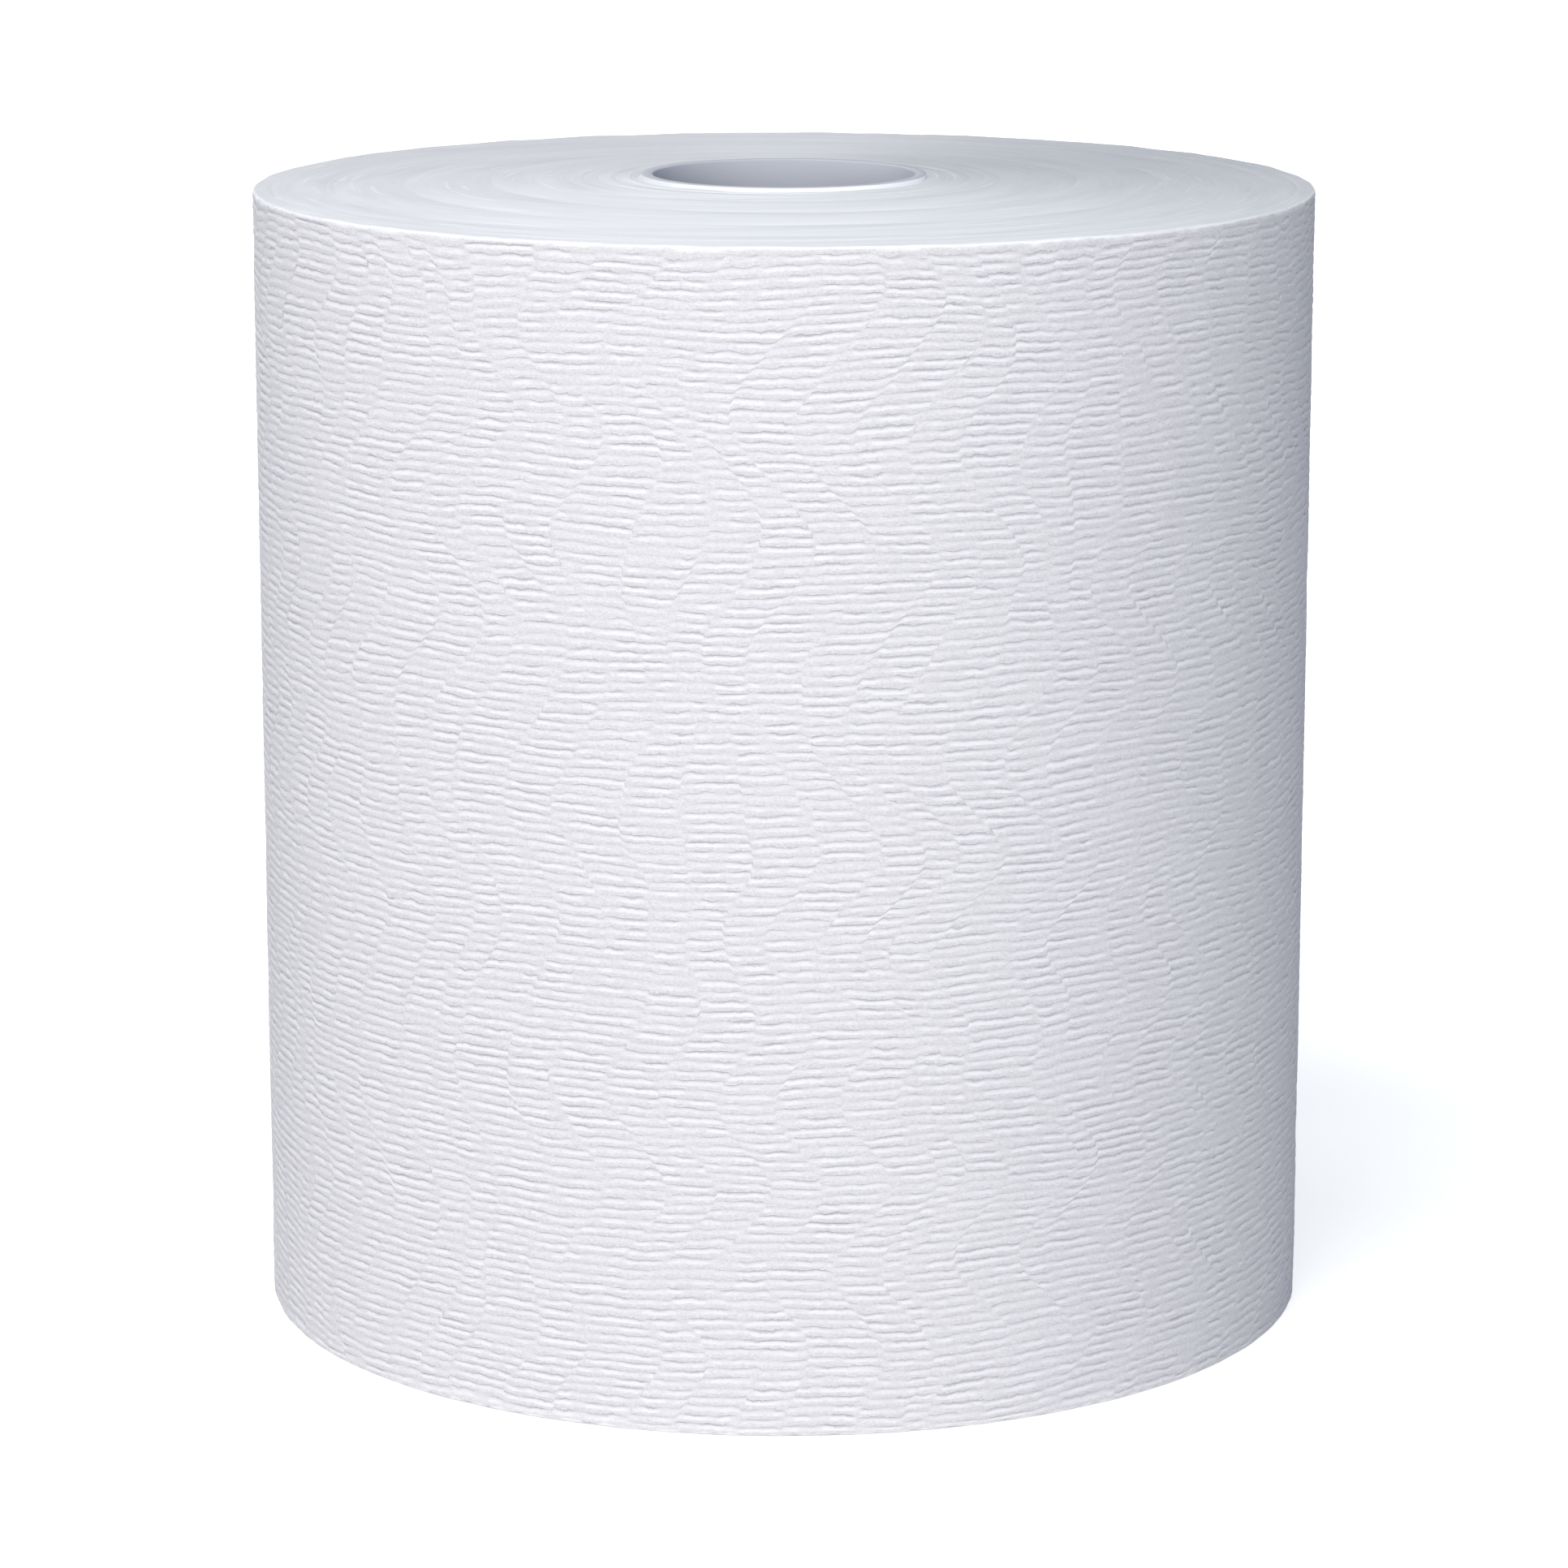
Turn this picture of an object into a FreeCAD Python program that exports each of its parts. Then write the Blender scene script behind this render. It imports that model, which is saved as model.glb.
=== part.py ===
import FreeCAD, Part
import math
import os

import Sketcher

# A roll of paper towel for a dispenser, standing on one end, +Z up along its axis.
# The origin is the centre of the end that it stands on, and all sizes are in millimetres.
# It is two pieces: the paperboard core tube, and the towel itself, one long web wound on
# the core. The web's turns are one solid. Its outside is a true spiral that ends in the
# cut edge of the sheet, at the back, and fine rings in both ends part its bands of turns.
# The turns have slid a little along the axis: the upper end rises towards the core, which
# stands out of it, and the lower end is hollowed by as much, so the roll stands on a flat
# land at its rim.

DRIVING_SIZES = (
    ("roll_width", 203.2, "height of the standing roll, the width of the towel"),
    ("roll_diameter", 190.0, "across the outermost turn"),
    ("sheet_thickness", 0.21, "one turn of towel as wound, and the step at its cut edge"),
    ("core_bore", 47.0, "inside of the core tube, which a dispenser's hub fills"),
    ("core_wall", 2.0, "thickness of the core tube's paperboard"),
    ("core_edge", 0.3, "bevel on the core tube's cut edges"),
    ("core_proud", 0.5, "how far the core stands out of the towel at the upper end"),
    ("web_rise", 1.5, "how far the innermost turn has slid up from the rim of the roll"),
    ("rim_land", 12.0, "width of the flat land at the rim, on which the roll stands"),
    ("rim_bevel", 0.6, "softened outer rim at both ends of the roll"),
    ("ring_count", 6, "rings that part the bands of turns, in each end"),
    ("ring_width", 0.8, "width of a ring where it meets the end"),
    ("ring_depth", 0.4, "depth of a ring"),
)
# Where a constraint takes hold of a piece of a sketch, and the number of the sketch's origin.
START, END, CENTRE = 1, 2, 3
ORIGIN = -1
# Two radii no further apart than this are the same, in millimetres.
SAME_RADIUS = 1e-6
# The spiral's last turn is drawn as this many arcs.
QUARTERS = 4


def make_sheet(doc):
    """The spreadsheet of driving sizes, one named cell each."""
    sheet = doc.addObject("Spreadsheet::Sheet", "Sizes")
    for row, (alias, value, note) in enumerate(DRIVING_SIZES, start=1):
        sheet.set(f"A{row}", alias)
        sheet.set(f"B{row}", str(value))
        sheet.setAlias(f"B{row}", alias)
        sheet.set(f"C{row}", note)
    doc.recompute()
    return sheet


def new_body(doc, label):
    body = doc.addObject("PartDesign::Body", label)
    body.Label = label
    return body


def new_sketch(body, name, plane_role):
    """A sketch on one of the body's own planes through the origin."""
    sketch = body.newObject("Sketcher::SketchObject", name)
    planes = [f for f in body.Origin.OriginFeatures if f.Role == plane_role]
    sketch.AttachmentSupport = (planes[0], [""])
    sketch.MapMode = "FlatFace"
    return sketch


def bind(sketch, kind, where, value, formula):
    """Adds a dimension to a sketch, and ties it to the spreadsheet."""
    index = sketch.addConstraint(Sketcher.Constraint(kind, *where, value))
    sketch.setExpression(f"Constraints[{index}]", formula)
    return index


def join(sketch, kind, *where):
    return sketch.addConstraint(Sketcher.Constraint(kind, *where))


def circle_about_axis(sketch, diameter, formula):
    """A circle round the origin of a sketch."""
    flat = FreeCAD.Vector(0, 0, 1)
    index = sketch.addGeometry(Part.Circle(FreeCAD.Vector(), flat, diameter / 2))
    join(sketch, "Coincident", index, CENTRE, ORIGIN, START)
    bind(sketch, "Diameter", (index,), diameter, formula)
    return index


def pad_up(body, sketch, name, length_formula):
    pad = body.newObject("PartDesign::Pad", name)
    pad.Profile = sketch
    pad.setExpression("Length", length_formula)
    sketch.Visibility = False
    return pad


def circular_edges(shape, radius):
    """Names of the full-circle edges of one radius."""
    names = []
    for number, edge in enumerate(shape.Edges, start=1):
        if isinstance(edge.Curve, Part.Circle) and abs(edge.Curve.Radius - radius) < SAME_RADIUS:
            names.append(f"Edge{number}")
    return names


def make_core_tube(doc, sheet):
    """The paperboard tube that the towel is wound on, cut square with its edges bevelled."""
    body = new_body(doc, "core_tube")
    section = new_sketch(body, "core_section", "XY_Plane")
    section.setExpression("AttachmentOffset.Base.z", "Sizes.web_rise + Sizes.core_proud")
    outside = sheet.core_bore + 2 * sheet.core_wall
    circle_about_axis(section, outside, "Sizes.core_bore + 2 * Sizes.core_wall")
    circle_about_axis(section, sheet.core_bore, "Sizes.core_bore")
    tube = pad_up(body, section, "core_length", "Sizes.roll_width")
    doc.recompute()

    bevel = body.newObject("PartDesign::Chamfer", "core_cut_edges")
    edges = circular_edges(tube.Shape, outside / 2)
    edges += circular_edges(tube.Shape, sheet.core_bore / 2)
    bevel.Base = (tube, edges)
    bevel.setExpression("Size", "Sizes.core_edge")
    doc.recompute()
    return body


def sketch_web_section(body, sheet):
    """The wound web seen from above: four quarter arcs make the spiral of its last turn.

    Each quarter is a quarter of the sheet's thickness smaller in radius than the one
    before, and its centre moves by as much, so the arcs run into each other without a
    corner. After four of them the spiral has come in by one sheet, at the back, and the
    short straight line there is the cut edge of the towel.
    """
    sketch = new_sketch(body, "web_section", "XY_Plane")
    quarter = sheet.sheet_thickness / QUARTERS
    outer = sheet.roll_diameter / 2
    flat = FreeCAD.Vector(0, 0, 1)
    centre = FreeCAD.Vector(quarter / 2, quarter / 2, 0)
    arcs = []
    for turn in range(QUARTERS):
        begin = math.radians(90 + 90 * turn)
        finish = begin + math.radians(90)
        radius = outer - turn * quarter
        circle = Part.Circle(centre, flat, radius)
        arcs.append(sketch.addGeometry(Part.ArcOfCircle(circle, begin, finish)))
        bind(sketch, "Radius", (arcs[-1],), radius,
             f"Sizes.roll_diameter / 2 - {turn} * Sizes.sheet_thickness / {QUARTERS}")
        centre += FreeCAD.Vector(math.cos(finish), math.sin(finish), 0) * quarter
    for one, next_one in zip(arcs, arcs[1:]):
        join(sketch, "Tangent", one, END, next_one, START)

    first, last = arcs[0], arcs[-1]
    high = FreeCAD.Vector(quarter / 2, outer + quarter / 2, 0)
    low = high - FreeCAD.Vector(0, sheet.sheet_thickness, 0)
    cut_edge = sketch.addGeometry(Part.LineSegment(low, high))
    join(sketch, "Coincident", last, END, cut_edge, START)
    join(sketch, "Coincident", cut_edge, END, first, START)
    join(sketch, "Vertical", cut_edge)

    eighth = "Sizes.sheet_thickness / 8"
    bind(sketch, "DistanceX", (ORIGIN, START, first, CENTRE), quarter / 2, eighth)
    bind(sketch, "DistanceY", (ORIGIN, START, first, CENTRE), quarter / 2, eighth)
    join(sketch, "Vertical", first, START, first, CENTRE)
    join(sketch, "Horizontal", first, END, first, CENTRE)
    join(sketch, "Vertical", arcs[1], END, arcs[1], CENTRE)
    join(sketch, "Horizontal", arcs[2], END, arcs[2], CENTRE)

    core_outside = sheet.core_bore + 2 * sheet.core_wall
    circle_about_axis(sketch, core_outside, "Sizes.core_bore + 2 * Sizes.core_wall")
    return sketch


def add_outline(sketch, corners):
    """Lines that close an outline. Each line starts at the corner of the same place."""
    corners = [FreeCAD.Vector(x, y, 0) for x, y in corners]
    lines = []
    for number, corner in enumerate(corners):
        line = Part.LineSegment(corner, corners[(number + 1) % len(corners)])
        lines.append(sketch.addGeometry(line))
    for number, line in enumerate(lines):
        join(sketch, "Coincident", line, END, lines[(number + 1) % len(lines)], START)
    return lines


def place_corner(sketch, line, corner, formulas):
    """Ties the corner at which a line starts to its radius and height."""
    for kind, value, formula in zip(("DistanceX", "DistanceY"), corner, formulas):
        bind(sketch, kind, (ORIGIN, START, line, START), value, formula)


class RollEnd:
    """One end of the roll, as a section out from the axis: a flat land, then a slope.

    Both ends have the same section, one roll's width apart. `out` is the way from the
    roll's inside to its outside at this end, 1 for up and -1 for down.
    """

    CORE = "(Sizes.core_bore / 2 + Sizes.core_wall)"
    RIM = "(Sizes.roll_diameter / 2)"
    LAND = "(Sizes.roll_diameter / 2 - Sizes.rim_land)"

    def __init__(self, sheet, name, out):
        self.name, self.out = name, out
        self.core = sheet.core_bore / 2 + sheet.core_wall
        self.rim = sheet.roll_diameter / 2
        self.land = self.rim - sheet.rim_land
        self.rise = sheet.web_rise
        self.base = sheet.roll_width if out == 1 else 0.0
        self.base_formula = "Sizes.roll_width" if out == 1 else "0"

    def height(self, radius):
        share = max(0.0, (self.land - radius) / (self.land - self.core))
        return self.base + self.rise * share

    def height_formula(self, radius_formula):
        share = f"({self.LAND} - {radius_formula}) / ({self.LAND} - {self.CORE})"
        return f"{self.base_formula} + Sizes.web_rise * max(0; {share})"

    def beyond(self, formula):
        """The formula of a height further out of the roll than this end."""
        return ("+ " if self.out == 1 else "- ") + formula


def sketch_slope(body, sheet, end):
    """What is taken off the padded web to leave this end's land and slope."""
    sketch = new_sketch(body, f"{end.name}_slope_section", "XZ_Plane")
    spare = sheet.rim_bevel
    clear_z = end.base + spare + end.rise if end.out == 1 else -spare
    corners = [
        (end.core, end.base + end.rise),
        (end.land, end.base),
        (end.rim + spare, end.base),
        (end.rim + spare, clear_z),
        (end.core, clear_z),
    ]
    lines = add_outline(sketch, corners)
    clear = (f"{end.base_formula} + Sizes.web_rise + Sizes.rim_bevel" if end.out == 1
             else "-Sizes.rim_bevel")
    outside = f"{end.RIM} + Sizes.rim_bevel"
    formulas = [
        (end.CORE, f"{end.base_formula} + Sizes.web_rise"),
        (end.LAND, end.base_formula),
        (outside, end.base_formula),
        (outside, clear),
        (end.CORE, clear),
    ]
    for line, corner, pair in zip(lines, corners, formulas):
        place_corner(sketch, line, corner, pair)
    return sketch


def ring_radius(end, sheet, number):
    """Rings crowd towards the core and the rim, as loose turns do on a real roll."""
    share = math.cos(math.pi * number / (sheet.ring_count + 1))
    radius = (end.core + end.rim) / 2 - (end.rim - end.core) / 2 * share
    turn = f"cos(180 * {number} / (Sizes.ring_count + 1))"
    formula = f"(({end.CORE} + {end.RIM}) / 2 - ({end.RIM} - {end.CORE}) / 2 * {turn})"
    return radius, formula


def sketch_rings(body, sheet, end):
    """One narrow V for each ring of an end, out from the roll's axis.

    A V goes on outside the end as far as it goes inside it, so that the cut is clean.
    """
    sketch = new_sketch(body, f"{end.name}_ring_section", "XZ_Plane")
    width, depth = sheet.ring_width, sheet.ring_depth
    for number in range(1, int(sheet.ring_count) + 1):
        radius, radius_formula = ring_radius(end, sheet, number)
        level, level_formula = end.height(radius), end.height_formula(radius_formula)
        open_z = level + end.out * depth
        outward = level_formula + end.beyond("Sizes.ring_depth")
        inward = level_formula + ("- " if end.out == 1 else "+ ") + "Sizes.ring_depth"
        corners = [
            (radius, level - end.out * depth),
            (radius - width, open_z),
            (radius + width, open_z),
        ]
        lines = add_outline(sketch, corners)
        place_corner(sketch, lines[0], corners[0], (radius_formula, inward))
        place_corner(sketch, lines[1], corners[1], (f"{radius_formula} - Sizes.ring_width", outward))
        place_corner(sketch, lines[2], corners[2], (f"{radius_formula} + Sizes.ring_width", outward))
    return sketch


def sketch_rim(body, sheet, end):
    """The corner that the softened rim takes off an end of the roll.

    The triangle goes past the roll's side and end by one bevel each, so that the cut is
    clean, and past the bevel's own corners too.
    """
    sketch = new_sketch(body, f"{end.name}_rim_section", "XZ_Plane")
    bevel, out = sheet.rim_bevel, end.out
    corners = [
        (end.rim + bevel, end.base - out * 2 * bevel),
        (end.rim + bevel, end.base + out * bevel),
        (end.rim - 2 * bevel, end.base + out * bevel),
    ]
    lines = add_outline(sketch, corners)
    outside, inside = f"{end.RIM} + Sizes.rim_bevel", f"{end.RIM} - 2 * Sizes.rim_bevel"
    beyond = end.base_formula + end.beyond("Sizes.rim_bevel")
    below = end.base_formula + ("- " if out == 1 else "+ ") + "2 * Sizes.rim_bevel"
    formulas = [(outside, below), (outside, beyond), (inside, beyond)]
    for line, corner, pair in zip(lines, corners, formulas):
        place_corner(sketch, line, corner, pair)
    return sketch


def groove_round(body, sketch, name):
    """Cuts a sketch's outline out of the roll, all the way round its axis."""
    groove = body.newObject("PartDesign::Groove", name)
    groove.Profile = sketch
    groove.ReferenceAxis = (sketch, ["V_Axis"])
    groove.Angle = 360
    sketch.Visibility = False
    return groove


def make_towel_web(doc, sheet):
    """The towel, wound on the core. Its bore is the core's outside, to which it is glued."""
    body = new_body(doc, "towel_web")
    section = sketch_web_section(body, sheet)
    pad_up(body, section, "web_width", "Sizes.roll_width + Sizes.web_rise")
    doc.recompute()
    for end in (RollEnd(sheet, "upper", 1), RollEnd(sheet, "lower", -1)):
        groove_round(body, sketch_slope(body, sheet, end), f"{end.name}_slope")
        groove_round(body, sketch_rings(body, sheet, end), f"{end.name}_rings")
        groove_round(body, sketch_rim(body, sheet, end), f"{end.name}_rim")
        doc.recompute()
    return body


def check_document(doc, pieces):
    """Stops before anything is written if a feature failed or a piece isn't one valid solid."""
    for item in doc.Objects:
        if {"Invalid", "Error"} & set(item.State):
            raise RuntimeError(f"{item.Name} did not recompute: {item.State}")
    for piece in pieces:
        shape = piece.Shape
        if shape.isNull() or not shape.isValid() or len(shape.Solids) != 1:
            raise RuntimeError(f"{piece.Label} is not one valid solid")


def main():
    doc = FreeCAD.newDocument("paper_towel_roll")
    sheet = make_sheet(doc)
    pieces = [make_core_tube(doc, sheet), make_towel_web(doc, sheet)]
    doc.recompute()
    check_document(doc, pieces)
    os.makedirs("parts", exist_ok=True)
    for piece in pieces:
        piece.Shape.exportStep(f"parts/{piece.Label}.step")
        box = piece.Shape.BoundBox
        print(f"{piece.Label}: {piece.Shape.Volume:.0f} cubic mm, "
              f"{box.XLength:.2f} x {box.YLength:.2f} x {box.ZLength:.2f} mm")


main()
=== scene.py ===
"""A roll of paper towel, standing on its end on a plain white floor.

The towel's side is one mesh, with the ridges that are moulded across the sheet and the
breaks where they stop and start again a little higher or lower. Each end is a mesh too,
with its turns in bands that have slid a little up or down. The core tube stands out of the
upper end, and has cut board edges and the seam of its inner ply.
"""

import math

import bpy
import numpy as np
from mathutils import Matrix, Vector


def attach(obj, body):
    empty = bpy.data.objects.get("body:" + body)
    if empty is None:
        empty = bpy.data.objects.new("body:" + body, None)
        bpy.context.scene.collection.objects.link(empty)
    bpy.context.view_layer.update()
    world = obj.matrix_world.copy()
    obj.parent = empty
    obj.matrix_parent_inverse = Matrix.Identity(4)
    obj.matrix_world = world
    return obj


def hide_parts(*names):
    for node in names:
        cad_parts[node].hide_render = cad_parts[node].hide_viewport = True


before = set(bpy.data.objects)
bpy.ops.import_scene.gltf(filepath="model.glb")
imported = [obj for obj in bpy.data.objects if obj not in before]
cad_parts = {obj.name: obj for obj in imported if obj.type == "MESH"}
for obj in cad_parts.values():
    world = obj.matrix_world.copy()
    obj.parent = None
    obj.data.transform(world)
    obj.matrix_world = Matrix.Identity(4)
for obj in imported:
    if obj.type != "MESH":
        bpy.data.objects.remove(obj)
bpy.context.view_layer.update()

MM = 0.001

# The roll, in millimetres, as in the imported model.
ROLL_WIDTH = 203.2
ROLL_RADIUS = 95.0
SHEET = 0.21
CORE_BORE_RADIUS = 23.5
CORE_OUTSIDE_RADIUS = 25.5
CORE_EDGE = 0.3
WEB_RISE = 1.5
CORE_PROUD = 0.5
LAND_RADIUS = 83.0
GIRTH = 2 * math.pi * ROLL_RADIUS
# The cut edge of the towel runs down the back, at +Y.
TAIL_ANGLE = math.pi / 2

# The ridges across the sheet, in millimetres.
RIDGES = 120
RIDGE_PITCH = ROLL_WIDTH / RIDGES
RIDGE_RELIEF = 0.17
RIDGE_SEED = 17
# Going up through one ridge: where its rows of points are, as shares of the pitch, and how
# far each lies in from the crest, as a share of the relief. Its body is nearly flat.
RIDGE_ROWS = ((0.0, 1.0), (0.22, 0.0), (0.68, 0.1))
# Ridges that are weaker come nearer to this level, as a share of the relief.
FLAT_LEVEL = 0.4
# The relief of single ridges: its mean, its spread and its limits, as shares of the relief.
RIDGE_STRENGTH = (0.95, 0.36)
RIDGE_STRENGTH_LIMITS = (0.25, 1.6)
# How far the ends of a ridge lie up or down from its place, in pitches.
RIDGE_WANDER = 0.07
# Two more rows of points at each rim, so many pitches in from it, and how far they lie in.
RIM_ROWS = (0.06, 0.14)
RIM_ROW_INSET = 0.5

# The breaks: lines that swing from rim to rim, at which the ridges stop and start again.
# They share some long waves, and each has a few small ones of its own. Swings, lengths and
# gaps are in millimetres, and the lean is a slope.
BREAK_SEED = 11
STRIPS = 68
HOME_JITTER = 2.2
SHARED_WAVES = 5
SHARED_TURNS = 6
SHARED_SWING = 4.5
SHARED_LENGTH = (24.0, 60.0)
OWN_WAVES = 2
OWN_SWING = 0.5
OWN_LENGTH = (9.0, 17.0)
SWING_FADE_AT_CUT = 14.0
MOST_LEAN = 1.0
BREAK_GAP = 0.3
STRIP_LEAST = 4.2
# The breaks are worked out at so many heights for each ridge, and smoothed over so many.
HEIGHTS_PER_RIDGE = 4
KINK_WINDOW = 19

# The sheet between two breaks is a strip, and every second strip lies a part of a pitch
# higher. The shifts are in pitches, and their waves up the roll in millimetres.
SHIFT_SEED = 5
SHIFT_TO_AND_FRO = 0.18
SHIFT_SPREAD = 0.15
SHIFT_MOST = 0.4
SHIFT_WAVES = 4
SHIFT_LENGTH = (22.0, 80.0)
SHIFT_FADE_AT_RIM = 2.5

# A ridge tapers towards both of its ends: over how many millimetres, at most over which share
# of its length, and which share of its relief it keeps there.
TAPER = (0.3, 2.3)
TAPER_MOST = 0.4
LEFT_AT_END = (0.0, 0.8)

# Slow unevenness. Each is a seed, the shortest wave up the roll or in across an end, in
# millimetres, the number of waves, and the most times that one goes round the roll.
RIDGE_WAVES = (21, 34.0, 9, 14)
SWELL_WAVES = (23, 60.0, 8, 9)
RIM_WAVES = (31, 40.0, 14, 60)
BAND_WAVES = (32, 12.0, 14, 12)
WAVE_HEIGHT = 0.3
SWELL_DEPTH = 0.03

# The rims, in millimetres: how round they are, how far their line wavers into the roll, and
# to which depth that is felt. The lower rim stands on the floor, and wavers by a smaller
# share. Each rim takes its waves from its own side of the middle, at this place.
RIM_ROUND = 0.3
RIM_WAVER = 0.14
RIM_WAVER_DEPTH = 2.0
RIM_WAVER_PLACE = 90.0
LOWER_RIM_SHARE = 0.3

# The ends, in millimetres. Their turns lie in bands that have slid a little, with a groove
# between two bands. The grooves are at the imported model's six rings and at the radii named
# here, and rings of points between them are no further apart than the spacing.
BAND_SEED = 8
CAD_RINGS = 6
CORE_BAND_EDGES = (26.5, 27.4, 28.3, 30.4, 33.2, 36.0)
RIM_BAND_EDGES = (80.6, 87.4, 93.3)
RING_SPACING = 6.0
GROOVE_HALF_WIDTH = 0.12
GROOVE_DEPTH = 0.03
# A groove has a random share of that depth.
GROOVE_SHARES = (0.2, 1.0)
BAND_STEP = 0.012
# Grooves and steps are larger at the core, and are back to the usual within this reach.
DEEPER_AT_CORE = 2.5
BAND_STEP_AT_CORE = 0.34
CORE_REACH = 4.0
CORE_GAP_WIDTH = 0.4
CORE_GAP_DEPTH = 0.5
# By which share the depth of a band varies round the roll, and how much faster across it.
BAND_UNEVENNESS = 0.6
BAND_WAVE_STRETCH = 1.7
# An end takes over from the rim's own line within this.
END_BLEND = 3.0

# The core tube, in millimetres. The seam of its inner ply climbs by the rise in one turn,
# and comes out at the front of the upper end.
CORE_COLUMNS = 96
CORE_ROWS = 48
CORE_PLY = 0.1
CORE_PLY_RISE = 95.0
CORE_SEAM_END = -math.pi / 2
CORE_SEAM_DEPTH = 0.12
CORE_SEAM_HALF_WIDTH = 0.35
# How far the middle of a rounded corner lies in from both of its sides, as a share of it.
CORNER = 0.3
CORE_EDGE_DISH = 0.02

# The tissue's finish. Clumps of fibre are this long, in millimetres, and half as high, and
# they stand out by this share of a line's depth.
FIBRE_CLUMP = 0.6
FIBRE_RISE = 0.9
SPECKLE_RANGE = (0.3, 0.7)
TISSUE_COLOURS = ("#DDDBDD", "#F1EFF1")
# A painted highlight, for the lip below each line.
LIP_PAINTED_HIGHLIGHT = "#F6F4F6"
# Painted shade, for the inside of each line.
LINE_PAINTED_SHADE = "#D9D7DC"
WHITE = "#FFFFFF"
# The fine lines that it draws between the ridges: how deep, and how far along the sheet
# before one wanders to its other side or fades out, in millimetres.
LINE_DEPTH = 0.1
WANDER_LENGTH = 3.5
DASH_LENGTH = 5.0
# The rest of a line is in pitches: its half width, how far it wanders and is ragged, and
# where the painted highlight on the lip lies below it, from the crest of the lip to its foot.
LINE_HALF_WIDTH = 0.17
LINE_WANDER = 0.5
LINE_RAGGED = 0.4
LIP_HIGHLIGHT_PLACE = 0.32
LIP_HIGHLIGHT_WIDTHS = (0.04, 0.3)
# Where the noise is below the first a line is faint, and above the second it is whole.
DASH_RANGE = (0.34, 0.56)
FAINTEST_LINE = 0.25
# Puts the noise of each line in a place of its own.
LINES_APART = 17.31
# The painted highlight along the cut rims reaches in by up to this many pitches, with so soft a
# border.
RIM_FRAY = 0.5
RIM_BORDER = 0.1

# The finish of the ends, in millimetres: how wide its rings, its broader bands and its
# painted streak highlights are, and how deep the rings.
RING_GRAIN = 0.9
BAND_GRAIN = 6.0
STREAK_GRAIN = 1.3
RING_DEPTH = 0.07
# The rings are drawn a little out of round, by these shares of the place.
RING_DRIFT = 0.07
BAND_DRIFT = 0.22
# How much the rings add to the tone of the bands.
RING_SHARE = 0.5
END_COLOURS = ("#E2E3E8", "#FBFCFD")
# Which noise values get the painted streak highlights, and how white they are at most.
STREAK_HIGHLIGHT_RANGE = (0.62, 0.68)
STREAK_HIGHLIGHT_MOST = 0.9
# How far the cut edges lean outwards, as a slope.
EDGE_LEAN = 0.4

BOARD_GREY = "#C9CBD3"
BOARD_EDGE = "#D4D6DC"
OUTER_PLY = "#FAFAFC"
BOARD_FIBRE = 0.8
BOARD_FIBRE_RISE = 0.04

# The camera: its lens in millimetres, its place in metres, and its dip in radians.
LENS = 127.69
CAMERA_PLACE = (0.0, -0.99658, 0.31045)
CAMERA_DIP = 0.2147

# The studio. A light is its azimuth, 0 at the front, and its elevation in degrees, its
# distance and size in metres, its level and its colour.
LIGHTS = {
    "key": (-31, 58, 3.2, 1.5, 0.57, WHITE),
    "front_fill": (7, 7, 3.0, 1.6, 0.67, WHITE),
    "left_fill": (-108, 8, 3.0, 1.6, 0.34, WHITE),
    "right_fill": (100, 8, 3.0, 1.6, 0.055, "#A8C4FF"),
    "back_fill": (172, 8, 3.0, 1.6, 0.22, WHITE),
}
WORLD_COLOUR = "#C4DCFF"
WORLD_LEVEL = 0.15
FLOOR_SIZE = 8.0
# The floor's own grey where it lights the roll, and where the camera sees it. What the camera
# sees glows too, from the first glow at the roll to the second far off.
FLOOR_GREY = 0.6
FLOOR_GREY_SEEN = 0.9
FLOOR_GLOW = (0.62, 1.0)
FLOOR_GLOW_REACH = (0.15, 0.9)


def linear(hex_colour):
    """An sRGB hex colour as linear red, green, blue and alpha."""
    values = [int(hex_colour[place:place + 2], 16) / 255 for place in (1, 3, 5)]
    return [v / 12.92 if v <= 0.04045 else ((v + 0.055) / 1.055) ** 2.4 for v in values] + [1.0]


def smooth_waves(seed, shortest, count, most_turns):
    """A smooth uneven surface over the unrolled sheet, with a mean square of 1.

    It is a sum of `count` waves. None is shorter than `shortest` millimetres up the roll, and
    each goes a whole number of times round it, so there is no seam.
    """
    rng = np.random.RandomState(seed)
    turns = rng.randint(-most_turns, most_turns + 1, count)
    rise = rng.uniform(-1, 1, count) * 2 * math.pi / shortest
    phase = rng.uniform(0, 2 * math.pi, count)

    def height(along, up):
        total = np.zeros(np.broadcast(along, up).shape)
        for t, k, p in zip(turns, rise, phase):
            total += np.sin(2 * math.pi * t * along / GIRTH + k * up + p)
        return total / math.sqrt(count / 2)

    return height


def eased(share):
    """0 to 1 with a soft start and a soft stop."""
    share = np.clip(share, 0, 1)
    return share * share * (3 - 2 * share)


def ridge_rows():
    """The rows of points of the towel's side: each one's phase, in ridges, and its inset."""
    rows = [(ridge + share, inset) for ridge in range(RIDGES) for share, inset in RIDGE_ROWS]
    rows.append((float(RIDGES), RIDGE_ROWS[0][1]))
    for near in RIM_ROWS:
        rows += [(near, RIM_ROW_INSET), (RIDGES - near, RIM_ROW_INSET)]
    phases, insets = np.array(sorted(rows)).T
    return phases, insets


def by_row(of_ridges, phases):
    """Values of each ridge, by strip, for each row of points. A trough lies between two ridges."""
    above = np.clip(np.floor(phases).astype(int), 0, RIDGES - 1)
    below = np.clip(np.ceil(phases).astype(int) - 1, 0, RIDGES - 1)
    return (of_ridges[above] + of_ridges[below]) / 2


def from_rim(heights):
    """How far heights up the side are from the nearer rim."""
    return np.minimum(heights, ROLL_WIDTH - heights)


def fade_at_rims(heights):
    """1 over most of the side, and down to 0 at the rims, where the rows stay level."""
    return eased(from_rim(heights) / SHIFT_FADE_AT_RIM)


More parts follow.
